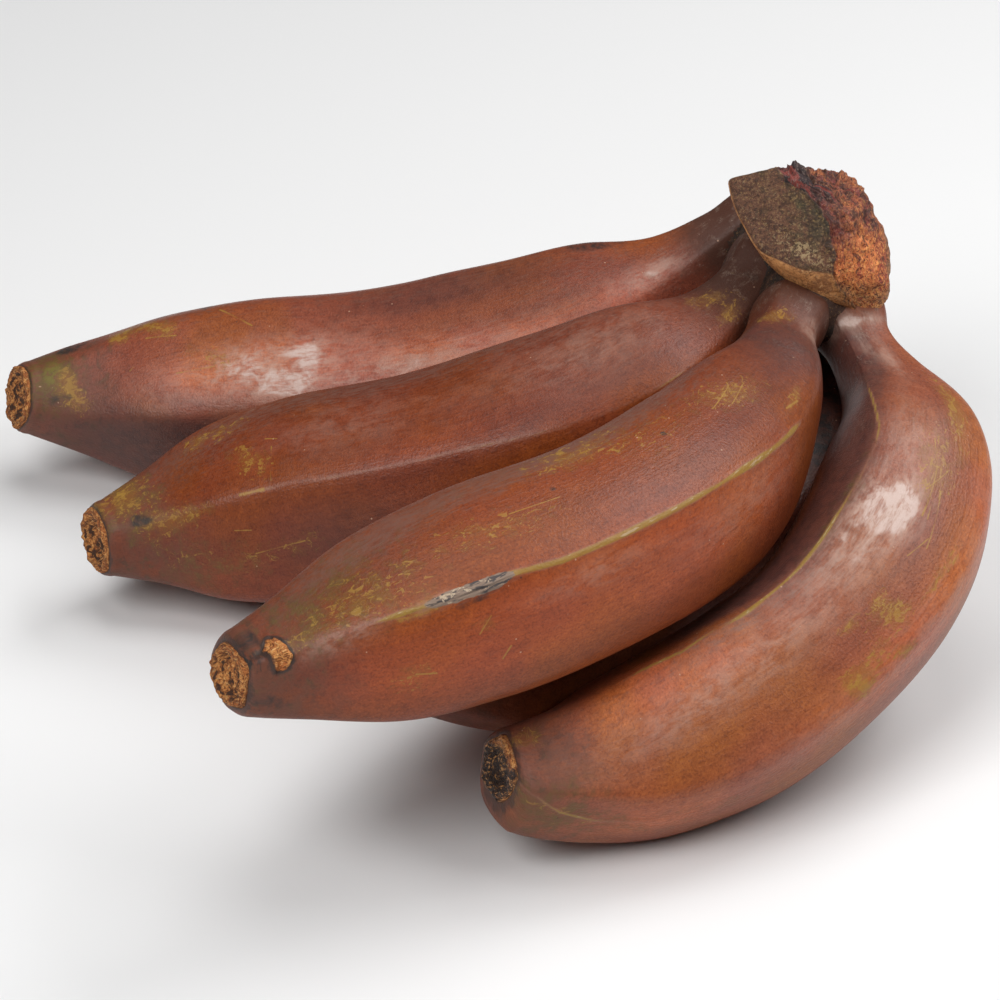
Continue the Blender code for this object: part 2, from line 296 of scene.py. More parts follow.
def smooth_between(stations, shares):
    """Cubic curve through the stations, with each one's slope taken from its neighbours."""
    at, value = np.array(stations, float).T
    slope = np.gradient(value, at)
    k = np.clip(np.searchsorted(at, shares, side="right") - 1, 0, len(at) - 2)
    step = at[k + 1] - at[k]
    w = (shares - at[k]) / step
    return (
        (2 * w**3 - 3 * w**2 + 1) * value[k]
        + (w**3 - 2 * w**2 + w) * step * slope[k]
        + (3 * w**2 - 2 * w**3) * value[k + 1]
        + (w**3 - w**2) * step * slope[k + 1]
    )


def s_curve(value, low, high):
    """0 below low, 1 above high, and an S curve of the third power between."""
    w = np.clip((value - low) / (high - low), 0, 1)
    return w * w * (3 - 2 * w)


def bell(value, middle, spread):
    """1 at the middle, falling off as the bell curve of the way from it over the spread."""
    return np.exp(-(((value - middle) / spread) ** 2))


def stacked(*parts):
    """Arrays that fit each other's shape, as the parts of one array of vectors."""
    return np.stack(np.broadcast_arrays(*parts), -1)


def cloud(points, grain, seed, depth=1):
    """Smooth noise from about -1 to 1 at the points.

    Random values sit on a cubic lattice whose cells are as wide as the grain, and an S curve
    blends the eight round each point. Each further depth has half the grain and half the height.
    """
    table = np.random.default_rng(seed).uniform(-1, 1, (32, 32, 32))
    total, height = 0.0, 1.0
    for layer in range(depth):
        at = points / grain * 2**layer + 7.3 * layer
        cell = np.floor(at).astype(int)
        w = at - cell
        w = w * w * (3 - 2 * w)
        here = 0.0
        for corner in np.ndindex(2, 2, 2):
            share = np.prod(np.where(corner, w, 1 - w), axis=-1)
            index = (cell + corner) % 32
            here = here + share * table[index[..., 0], index[..., 1], index[..., 2]]
        total = total + here * height
        height /= 2
    return total


def spine(finger, shares):
    """Points along the finger's middle with its heading and its directions inward and sideways.

    The heading turns by the running integral of the turn, the middle follows the heading, and
    one sine wave over the whole length and one twice as fast carry it sideways. The lift grows
    as the square of the way past its start, less the sag, a squared sine of the share's square.
    Shares below 0 run straight back into the crown.
    """
    fine = np.linspace(0, 1, FINE_STEPS)
    steps = np.diff(fine)

    def running_sum(values, widths):
        return np.concatenate([[0.0], np.cumsum((values[1:] + values[:-1]) / 2 * widths)])

    angle = running_sum(np.radians(np.interp(fine, TURN_SHARES, finger.turn)), steps)
    ahead = running_sum(np.cos(angle), steps * finger.length)
    inward = running_sum(np.sin(angle), steps * finger.length)
    aside = finger.bow * np.sin(np.pi * fine) + finger.sway * np.sin(2 * np.pi * fine)

    turned = np.array(Euler(np.radians((finger.lean, finger.dip, finger.bearing))).to_matrix())
    middle = np.stack([ahead, aside, inward], 1) @ turned.T + finger.root
    lifting = np.clip((fine - LIFT_START) / (1 - LIFT_START), 0, 1)
    sagging = finger.sag * np.sin(np.pi * fine**2) ** 2
    middle += (lifting**2 - sagging)[:, None] * finger.lift
    middle += bell(fine, *NUDGED)[:, None] * finger.nudge
    heading = np.gradient(middle, axis=0)
    heading /= np.linalg.norm(heading, axis=1, keepdims=True)
    across = np.stack([-np.sin(angle), 0 * angle, np.cos(angle)], 1) @ turned.T
    across -= heading * np.sum(across * heading, axis=1, keepdims=True)
    across /= np.linalg.norm(across, axis=1, keepdims=True)

    def at_shares(rows):
        return np.stack([np.interp(shares, fine, column) for column in rows.T], 1)

    middle, heading, across = at_shares(middle), at_shares(heading), at_shares(across)
    middle += heading * np.minimum(shares, 0)[:, None] * finger.length
    return middle, heading, across, np.cross(heading, across)


def five_sided(around, corners):
    """Radius of a rounded five-sided section with its corners at the given angles.

    Each side pulls by the cosine from its middle, over its distance from the centre, which is
    such that all corners reach equally far; the pulls are added as a twelfth power norm.
    """
    corners = np.sort(np.radians(corners) % (2 * math.pi))
    spans = (np.roll(corners, -1) - corners) % (2 * math.pi)
    middles = corners + spans / 2
    distances = np.cos(spans / 2) / math.cos(math.pi / 5)
    pull = np.clip(np.cos(around[..., None] - middles), 0, None) / distances
    return np.sum(pull**CORNER_POWER, axis=-1) ** (-1 / CORNER_POWER) / SECTION_TRIM


def angle_apart(around, degrees):
    """How far round each angle lies from the given one, in radians from -pi to pi."""
    return (around - math.radians(degrees) + math.pi) % (2 * math.pi) - math.pi


def oval_bell(x, y, half_length, half_width, turn=0):
    """Bell curve of the distance from the middle of an oval that is turned in its plane."""
    c, s = math.cos(math.radians(turn)), math.sin(math.radians(turn))
    return np.exp(-(((x * c + y * s) / half_length) ** 2 + ((y * c - x * s) / half_width) ** 2))


def patches(finger, along, around, nominal, table):
    """Sum of soft oval patches: each falls off as the bell curve of the oval distance."""
    total = np.zeros(np.broadcast(along, around).shape)
    for share, angle, half_length, half_width, strength, *turn in table:
        x = (along - share) * finger.length
        y = angle_apart(around, angle) * nominal
        total += strength * oval_bell(x, y, half_length, half_width, *turn)
    return total


def keel_lines(finger, along, around):
    """How plainly each line along the finger shows: a bell curve of the way round from it."""
    total = np.zeros(np.broadcast(along, around).shape)
    for stations, half_width, strength in finger.keels:
        shares = [share for share, _ in stations]
        angles = np.unwrap(np.radians([angle for _, angle in stations]))
        line = np.interp(along, shares, angles)
        apart = (around - line + math.pi) % (2 * math.pi) - math.pi
        shown = s_curve(along, shares[0] - 0.02, shares[0] + 0.04)
        shown = shown * (1 - s_curve(along, shares[-1] - 0.04, shares[-1] + 0.02))
        width = half_width / (FULL_RADIUS * finger.girth)
        total += strength * shown * bell(apart, 0, width)
    return total


def closed_tube(rows, cols):
    """Faces of a tube whose first and last rows are single points, and their corners on the grid.

    A corner beyond the last column goes back to the first one's point but keeps its own place.
    """
    def number(row, col):
        return 1 + (row - 1) * cols + col % cols

    def on_grid(*corners):
        return np.stack([np.stack(corner, -1) for corner in corners], -2).reshape(-1, 2)

    i, j = np.meshgrid(np.arange(1, rows - 2), np.arange(cols), indexing="ij")
    square = ((i, j), (i, j + 1), (i + 1, j + 1), (i + 1, j))
    quads = np.stack([number(row, col) for row, col in square], -1).reshape(-1, 4)
    j = np.arange(cols)
    first, last = 0 * j, 0 * j + rows - 1
    start = np.stack([first, number(1, j + 1), number(1, j)], -1)
    end = np.stack([number(last - 1, j), number(last - 1, j + 1), number(last, first)], -1)
    return (start, quads, end), (
        on_grid((first, j + 0.5), (first + 1, j + 1), (first + 1, j)),
        on_grid(*square),
        on_grid((last - 1, j), (last - 1, j + 1), (last, j + 0.5)),
    )


def make_piece(name, points, marks):
    """Put a closed tube of points into a mesh, with its UV map and one attribute for each mark.

    The points are a grid of rows, each one closed round; the first and last rows are poles.
    """
    rows, cols, _ = points.shape
    faces, corners = closed_tube(rows, cols)

    def with_poles(grid):
        flat = grid[1:-1].reshape(-1, *grid.shape[2:])
        return np.concatenate([grid[:1, :1].mean(1), flat, grid[-1:, :1].mean(1)])

    mesh = bpy.data.meshes.new(name)
    mesh.from_pydata(with_poles(points) * MM, [], [f for part in faces for f in part.tolist()])
    uv = np.concatenate(corners) / (rows - 1, cols)
    mesh.uv_layers.new(name="UVMap").data.foreach_set("uv", uv.astype(np.float32).ravel())
    for key, grid in marks.items():
        vector = grid.ndim == 3
        layer = mesh.attributes.new(key, "FLOAT_VECTOR" if vector else "FLOAT", "POINT")
        values = with_poles(grid).astype(np.float32).ravel()
        layer.data.foreach_set("vector" if vector else "value", values)
    mesh.shade_smooth()
    piece = bpy.data.objects.new(name, mesh)
    bpy.context.scene.collection.objects.link(piece)
    return piece


# Round the tip's shoulder and over its scar: (how far in, from 0 at the skin's end to 1 at the
# scar's edge, then to 2 at its middle; push out).
SHOULDER = (
    (0.0, 0.0), (0.12, 1.0), (0.45, 2.0), (0.88, 2.4), (0.97, 2.3), (1.0, 2.6), (1.05, 3.2),
    (1.15, 3.4), (1.26, 3.1), (1.38, 2.2), (1.5, 1.5), (1.65, 1.3), (1.85, 1.5), (2.0, 1.5),
)
SHOULDER_ROWS = 50


def build_finger(name, finger):
    """A finger with its scar: a section carried along the spine and drawn in over the tip."""
    body = np.linspace(-PEG, finger.end, finger.rows)
    ends = np.linspace(0, len(SHOULDER) - 1, SHOULDER_ROWS)[1:]
    inward = np.interp(ends, np.arange(len(SHOULDER)), [way for way, _ in SHOULDER])
    push = finger.bulge * np.interp(ends, np.arange(len(SHOULDER)), [out for _, out in SHOULDER])
    factor = np.interp(inward, (0, 1, 2), (1, finger.scar, 0))
    shares = np.concatenate([[-PEG], body, np.full_like(ends, finger.end)])
    factor = np.concatenate([[0.0], np.ones_like(body), factor])[:, None]
    push = np.concatenate([[0.0], np.zeros_like(body), push])[:, None]
    inward = np.concatenate([[0.0], np.zeros_like(body), inward])[:, None]

    around = (np.arange(finger.sides) * 2 * np.pi / finger.sides)[None, :]
    along = shares[:, None]
    middle, heading, across, sideways = spine(finger, shares)
    nominal = FULL_RADIUS * finger.girth * smooth_between(THICKNESS, shares)
    nominal = nominal * (1 + finger.blunt * s_curve(shares, *BLUNTED))
    nominal = nominal * (1 + finger.swell * bell(shares, *SWOLLEN))
    nominal = (nominal * (1 + finger.flare * (1 - s_curve(shares, *FLARED))))[:, None]
    x, y = np.cos(around), np.sin(around)
    straight = stacked(nominal * x, nominal * y, along * finger.length + 4 * inward)

    def patch(kind):
        return patches(finger, along, around, nominal, getattr(finger, kind))

    winding = np.radians(np.interp(shares, *np.array(finger.twist, float).T))[:, None]
    angular = smooth_between(ANGULAR, shares)[:, None]
    section = 1 + angular * (five_sided(around - winding, finger.corners) - 1)
    lumps = LUMP_HEIGHT * cloud(straight, LUMP_GRAIN, finger.seed)
    lumps = lumps + DIMPLE_HEIGHT * cloud(straight, DIMPLE_GRAIN, finger.seed + 1)
    fading = KEEL_FADING * cloud(straight * (1, 1, 0.5), KEEL_GRAIN, finger.seed + 6)
    keel = keel_lines(finger, along, around) * (1 + fading)
    scab, cork = patch("scab"), patch("cork")
    radius = nominal * section + lumps * np.clip(nominal / LUMPY_RADIUS, 0.3, 1)
    radius = radius + KEEL_HEIGHT * keel + patch("dent")
    crust = np.clip(scab, 0, 1) * SCAB_HEIGHT + np.clip(cork, 0, 1) * CORK_HEIGHT
    radius = radius + crust * cloud(straight, CRUST_GRAIN, finger.seed + 5, depth=2)

    scar = s_curve(inward, 0.93, 1.0)
    radial = factor * radius
    flat = stacked(radial * x, radial * y, 3 * push)
    wobble = np.sin(np.pi * inward / 2) * cloud(flat, SCAR_WOBBLE_GRAIN, finger.seed + 4)
    radial = radial * (1 + SCAR_WOBBLE * wobble)
    knobs = cloud(flat, SCAR_GRAIN, finger.seed + 2)
    knobs = knobs + cloud(flat, SCAR_FINE_GRAIN, finger.seed + 3, depth=2)
    out = push + scar * SCAR_HEIGHT * knobs
    side, lean = np.radians(finger.cut)
    leaning = np.clip((along - CUT_START) / (1 - CUT_START), 0, 1) ** 2
    out = out - math.tan(lean) * leaning * radial * np.cos(around - side)

    turned = x[..., None] * across[:, None, :] + y[..., None] * sideways[:, None, :]
    aside, off = math.radians(finger.offset[0]), finger.offset[1] * np.clip(inward, 0, 1)
    drift = off[..., None] * (math.cos(aside) * across + math.sin(aside) * sideways)[:, None, :]
    points = middle[:, None, :] + radial[..., None] * turned + drift
    points = points + out[..., None] * heading[:, None, :]
    marks = {
        "straight": straight * MM,
        "end": flat * MM,
        "share": np.broadcast_to(along, radial.shape),
        "scar": np.broadcast_to(scar, radial.shape),
        "inward": np.broadcast_to(inward, radial.shape),
        "keel": keel,
        "cork": cork,
        "scab": scab,
    }
    for kind in ("bloom_and_sheen", "tone", "wax_and_highlight", "fleck", "bruise", "olive"):
        marks[kind] = patch(kind)
    return make_piece(name, points, marks)


# ---- the crown

CROWN_CENTRE = np.array((72.0, 45.0, 78.0))
CROWN_EDGE = 22         # the higher, the sharper the edges between the cap's facets
# The cap's facets: the bearing and the rise of each one's outward normal, and its distance.
CROWN_FACETS = (
    (90, 57, 16.0),     # top
    (29, 36, 16.0),     # top right
    (0, 0, 17.6),       # right
    (16, 23, 15.0),     # right slope
    (-24, -32, 22.5),   # lower right
    (-125, -22, 12.7),  # rim left
    (-78, -12, 14.1),   # rim right
    (-159, -52, 9.6),   # under left
    (-136, -60, 11.0),  # under middle
    (97, 38, 13.3),     # top left
    (173, -23, 12.8),   # left
    (-171, -34, 10.2),  # low left
    (-118, 37, 11.5),   # panel
    (-31, 73, 13.5),    # fibre top
    (-33, 26, 14.0),    # fibre right
    (-68, 19, 12.5),    # fibre front
    (6, -75, 18.2),     # under right
    (90, -27, 24.0),    # back
    (43, -17, 21.0),    # back right
    (145, -8, 20.0),    # back left
    (90, 20, 19.0),     # back top
    (71, -62, 22.0),    # back low
)
RIM_FACETS = (5, 6, 10, 11)     # their numbers, counted from 0
UNDER_FACETS = (7, 8)
# The cushion behind and below the cap, an ellipsoid whose far end is tilted up.
CUSHION_CENTRE = np.array((74.0, 59.0, 67.5))
CUSHION_RADII = np.array((13.0, 20.0, 11.0))
CUSHION_TILT = 16
CUSHION_GRID = (150, 200)
SLEEVE_SHARES = (0.0, 0.075)        # of a finger's length, between which its sleeve lies
SLEEVE_START = -0.02                # share at which the sleeve's middle line starts
SLEEVE_OUT = (0.4, -1.2)            # by which it is thicker than the neck at its two ends
FILLET = 4.0                        # width of the fillets between cushion and sleeves
NEAREST, FARTHEST = 3.0, 40.0       # between which the surface is looked for along each ray
HALVINGS = 22
# The cap's face looks this way; across and up lie in the face.
FACE = np.array((0.0, -0.839, 0.545))
FACE_UP = np.array((0.0, 0.545, 0.839))
# Where the leathery panel ends and the torn face begins: (up the face, across the face).
SEAM = (
    (-22.0, 13.0), (-15.5, 9.6), (-13.9, 8.0), (-11.7, 6.0), (-9.0, 4.3), (-4.7, 4.1), (-0.3, 3.6),
    (3.0, 2.1), (6.3, 0.4), (9.6, -2.3), (11.8, -6.2), (15.7, -7.8), (22.0, -9.0),
)


def direction(bearing, rise):
    """Unit vector at a bearing from +X towards +Y and a rise above the level."""
    b, r = math.radians(bearing), math.radians(rise)
    return np.array((math.cos(r) * math.cos(b), math.cos(r) * math.sin(b), math.sin(r)))


def ray_grid(rows, cols):
    """Unit vectors in all directions, in rows from straight down to straight up."""
    rise = np.linspace(-np.pi / 2, np.pi / 2, rows)[:, None]
    bearing = (np.arange(cols) * 2 * np.pi / cols)[None, :]
    level = np.cos(rise)
    return stacked(level * np.cos(bearing), level * np.sin(bearing), np.sin(rise))


CAP_GRID = (262, 372)
TORN_DEPTH = 0.6        # by which the torn face lies below the panel
LIP_HEIGHT = 0.4        # by which the panel's edge stands up along the seam
# Unevenness of the torn face, of the panel, and of the shaggy fibres at the top of the seam.
FIBRE_HEIGHT, PIT_HEIGHT, HUMP_HEIGHT = 0.24, 0.3, 0.55
SWELLING_HEIGHT, BARK_HEIGHT = 0.25, 0.09
SHAG_HEIGHT, SHAG_FIBRE_HEIGHT = 0.7, 0.4
# The black nub at the top of the seam: its place and spread across, up and out of the face.
NUB = ((-2.7, 1.5), (16.0, 2.0), (2.0, 3.0))
NUB_HEIGHT = 2.6
# Patches of the panel: the middle across and up the face, half length, half width, turn.
PALE_PATCH = (-2.5, -3.5, 6.5, 2.4, -32)
DUSK_PATCH = (0.5, 3.0, 3.2, 5.5, 10)


def on_face(right, up, patch):
    """A soft oval patch on the cap's face."""
    return oval_bell(right - patch[0], up - patch[1], *patch[2:])


def build_cap():
    """The cut cap: a ball drawn in to its facets, then roughened as bark, cut edge or torn fibre.

    The inverse distances of the facets along each ray are added as a high power norm. On the
    torn side the ray's reach loses a step at the seam and gains sharp ridges, one less the size
    of a noise that is drawn out along lines beside the seam.
    """
    rays = ray_grid(*CAP_GRID)
    normals = np.array([direction(bearing, rise) for bearing, rise, _ in CROWN_FACETS])
    distances = np.array([distance for _, _, distance in CROWN_FACETS])
    pull = np.clip(rays @ normals.T, 0, None) / distances
    weight = pull**CROWN_EDGE
    reach = np.sum(weight, -1) ** (-1 / CROWN_EDGE)
    spot = rays * reach[..., None]

    right, up, front = spot[..., 0], spot @ FACE_UP, spot @ FACE
    seam_at = np.interp(up, [u for u, _ in SEAM], [a for _, a in SEAM])
    ragged = 0.8 * cloud(spot, 2.4, 31, depth=3)
    beside = right - seam_at
    torn = s_curve(beside + ragged, -0.2, 0.35) * s_curve(front, -9.0, -6.0)
    edge = (1 - s_curve(np.abs(beside + ragged), 0.0, 1.1)) * s_curve(front, -2, 2)

    strand = np.stack([beside, 0.3 * up, 0.6 * front], -1)
    fibres = 1 - 2 * np.abs(cloud(strand, 1.1, 32, depth=2)) + 0.5 * cloud(strand, 0.6, 36)
    pits = cloud(spot, 1.9, 38, depth=2)
    lumps = cloud(spot, 5.5, 33, depth=2)
    bark = cloud(spot, 1.4, 34, depth=3)
    shaggy = s_curve(up + 1.5 * cloud(spot, 3.0, 37), 5, 11) * torn

    shag = SHAG_HEIGHT * cloud(spot, 2.4, 35, depth=3) + SHAG_FIBRE_HEIGHT * fibres
    nub = bell(right, *NUB[0]) * bell(up, *NUB[1]) * bell(front, *NUB[2])
    reach = reach - TORN_DEPTH * torn + LIP_HEIGHT * edge * (1 - torn)
    reach = reach + torn * (FIBRE_HEIGHT * fibres + PIT_HEIGHT * pits + HUMP_HEIGHT * lumps)
    reach = reach + (1 - torn) * (SWELLING_HEIGHT * lumps + BARK_HEIGHT * bark)
    reach = reach + shaggy * shag + NUB_HEIGHT * nub
    share = weight / np.sum(weight, -1, keepdims=True)
    rim, under = share[..., RIM_FACETS].sum(-1), share[..., UNDER_FACETS].sum(-1)
    points = CROWN_CENTRE + rays * reach[..., None]
    marks = {
        "torn": torn, "rim": rim * (1 - torn), "under": under, "seam": edge,
        "shaggy": shaggy * (1 - 0.85 * s_curve(beside + ragged, 5.0, 9.0)),
        "pale": on_face(right, up, PALE_PATCH), "dusk": on_face(right, up, DUSK_PATCH),
        "face": np.stack([right, up, front], -1) * MM, "strand": strand * MM,
    }
    return make_piece("crown_cap", points, marks)


def capsule_distance(points, start, end, start_radius, end_radius):
    """Distance to a stick with round ends whose radius changes evenly from one to the other."""
    way = end - start
    w = np.clip(((points - start) @ way) / (way @ way), 0, 1)
    nearest = start + w[..., None] * way
    radius = start_radius + w * (end_radius - start_radius)
    return np.linalg.norm(points - nearest, axis=-1) - radius


def smooth_union(one, other, width):
    """The lesser of two distances, with a round fillet of that width where they meet."""
    h = np.clip(0.5 + 0.5 * (other - one) / width, 0, 1)
    return other * (1 - h) + one * h - width * h * (1 - h)


def build_cushion():
    """The cushion with a sleeve on each neck, melted together.

    Along each ray from the cushion's centre the surface lies where the distance to the joined
    ellipsoid and sleeves is zero, found by halving the step.
    """
    rays = ray_grid(*CUSHION_GRID)
    turn = np.array(Euler((math.radians(CUSHION_TILT), 0, 0)).to_matrix())
    sleeves = []
    for finger in FINGERS.values():
        start, end = spine(finger, np.array((SLEEVE_START, SLEEVE_SHARES[1])))[0]
        radius = FULL_RADIUS * finger.girth * smooth_between(THICKNESS, np.array(SLEEVE_SHARES))
        radius[0] *= 1 + finger.flare
        sleeves.append((start, end, *(radius + SLEEVE_OUT)))

    def distance(points):
        local = (points - CUSHION_CENTRE) @ turn / CUSHION_RADII
        size = np.linalg.norm(local, axis=-1)
        total = (size - 1) * CUSHION_RADII[2]
        for sleeve in sleeves:
            total = smooth_union(total, capsule_distance(points, *sleeve), FILLET)
        return total

    low, high = np.full(rays.shape[:2], NEAREST), np.full(rays.shape[:2], FARTHEST)
    for _ in range(HALVINGS):
        half = (low + high) / 2
        outside = distance(CUSHION_CENTRE + rays * half[..., None]) > 0
        high = np.where(outside, half, high)
        low = np.where(outside, low, half)
    spot = rays * low[..., None]
    reach = low + 0.35 * cloud(spot, 5.0, 41, depth=2) + 0.12 * cloud(spot, 1.3, 42, depth=2)
    points = CUSHION_CENTRE + rays * reach[..., None]
    return make_piece("crown_cushion", points, {})


# ---- finishes


class Wire:
    """A node's output socket. Arithmetic on it adds the Math node for each operation."""

    def __init__(self, finish, socket):
        self.finish = finish
        self.socket = socket

    def _math(self, operation, *values):
        sockets = dict(enumerate(values))
        return self.finish.node("Math", {"operation": operation}, sockets)

    def __add__(self, other):
        return self._math("ADD", self, other)

    def __sub__(self, other):
        return self._math("SUBTRACT", self, other)

    def __rsub__(self, other):
        return self._math("SUBTRACT", other, self)

    def __mul__(self, other):
        return self._math("MULTIPLY", self, other)

    __radd__ = __add__
    __rmul__ = __mul__


class Finish:
    """A material that is put together node by node."""

    def __init__(self, name, **shader):
        self.material = bpy.data.materials.new(name)
        self.material.use_nodes = True
        self.tree = self.material.node_tree
        self.shader = self.tree.nodes["Principled BSDF"]
        for key, value in shader.items():
            self.shader.inputs[key.replace("_", " ")].default_value = value

    def node(self, kind, settings=None, sockets=None, output=0):
        """Add a node: its settings first, then its sockets' values or wires."""
        made = self.tree.nodes.new("ShaderNode" + kind)
        for key, value in (settings or {}).items():
            setattr(made, key, value)
        for key, value in (sockets or {}).items():
            self.feed(made.inputs[key], value)
        return Wire(self, made.outputs[output])

    def feed(self, socket, value):
        """Give a socket a wire or a plain value."""
        if isinstance(value, Wire):
            self.tree.links.new(value.socket, socket)
        elif socket.type == "RGBA":
            socket.default_value = (*value, 1)
        else:
            socket.default_value = value

    def mark(self, name, vector=False):
        """A mark that the mesh carries."""
        output = "Vector" if vector else "Fac"
        return self.node("Attribute", {"attribute_name": name}, output=output)

    def vector(self, operation, *values, output=0):
        """Vector maths."""
        return self.node("VectorMath", {"operation": operation}, dict(enumerate(values)), output)

    def axis(self, vector, number):
        """One of the vector's three numbers."""
        return self.node("SeparateXYZ", {}, {0: vector}, number)

    def stretch(self, vector, by):
        """The vector with each axis multiplied."""
        return self.vector("MULTIPLY", vector, by)

    def noise(self, vector, scale, detail=2.0, roughness=0.5, warp=0.0):
        """Cloudy noise from 0 to 1."""
        return self.node("TexNoise", {}, {
            "Vector": vector, "Scale": scale, "Detail": detail, "Roughness": roughness,
            "Distortion": warp})

    def step(self, value, low, high):
        """0 below low and 1 above high, with an S curve between."""
        return self.node("MapRange", {"interpolation_type": "SMOOTHSTEP"}, {
            "Value": value, "From Min": low, "From Max": high})

    def band(self, value, middle, width):
        """1 at the middle value and 0 further off than the width."""
        apart = self.node("Math", {"operation": "ABSOLUTE"}, {0: value - middle})
        return self.step(apart, width, 0.0)

    def mix(self, below, above, amount):
        """Colour that goes from one to the other by the amount."""
        return self.node("Mix", {"data_type": "RGBA"}, {0: amount, 6: below, 7: above}, output=2)

    def base(self, below, above, amount):
        """Start the piece's own colour with a mix of two."""
        self.colour = self.mix(below, above, amount)

    def coat(self, above, amount):
        """Lay a colour over the piece's own, by the amount."""
        self.colour = self.mix(self.colour, above, amount)

    def tint(self, above, amount):
        """Multiply the piece's own colour by another, by the amount."""
        settings, sockets = {"blend_type": "MULTIPLY"}, {0: amount, 6: self.colour, 7: above}
        self.colour = self.node("Mix", {"data_type": "RGBA", **settings}, sockets, output=2)

    def bump(self, height, depth):
        """Normal of a surface that stands out by the height times the depth, in metres."""
        return self.node("Bump", {}, {"Height": height, "Distance": depth, "Strength": 1.0})

    def finish(self, **sockets):
        """Feed the shader's own sockets, its colour too."""
        self.feed(self.shader.inputs["Base Color"], self.colour)
        for key, value in sockets.items():
            self.feed(self.shader.inputs[key.replace("_", " ")], value)
        return self.material


BRICK = (0.225, 0.064, 0.034)
MAROON = (0.13, 0.031, 0.02)
RUST = (0.235, 0.072, 0.02)
BLOOM_AND_SHEEN = (0.165, 0.08, 0.058)
WAX_AND_HIGHLIGHT = (0.53, 0.36, 0.285)
OLIVE = (0.125, 0.082, 0.02)
FLECK = (0.36, 0.195, 0.035)
BRUISE = (0.03, 0.022, 0.02)
NECK = (0.075, 0.03, 0.019)
TAN = (0.66, 0.29, 0.088)
CORK = (0.42, 0.155, 0.048)
PITH = (0.034, 0.024, 0.021)
RUSTY = (0.44, 0.12, 0.032)


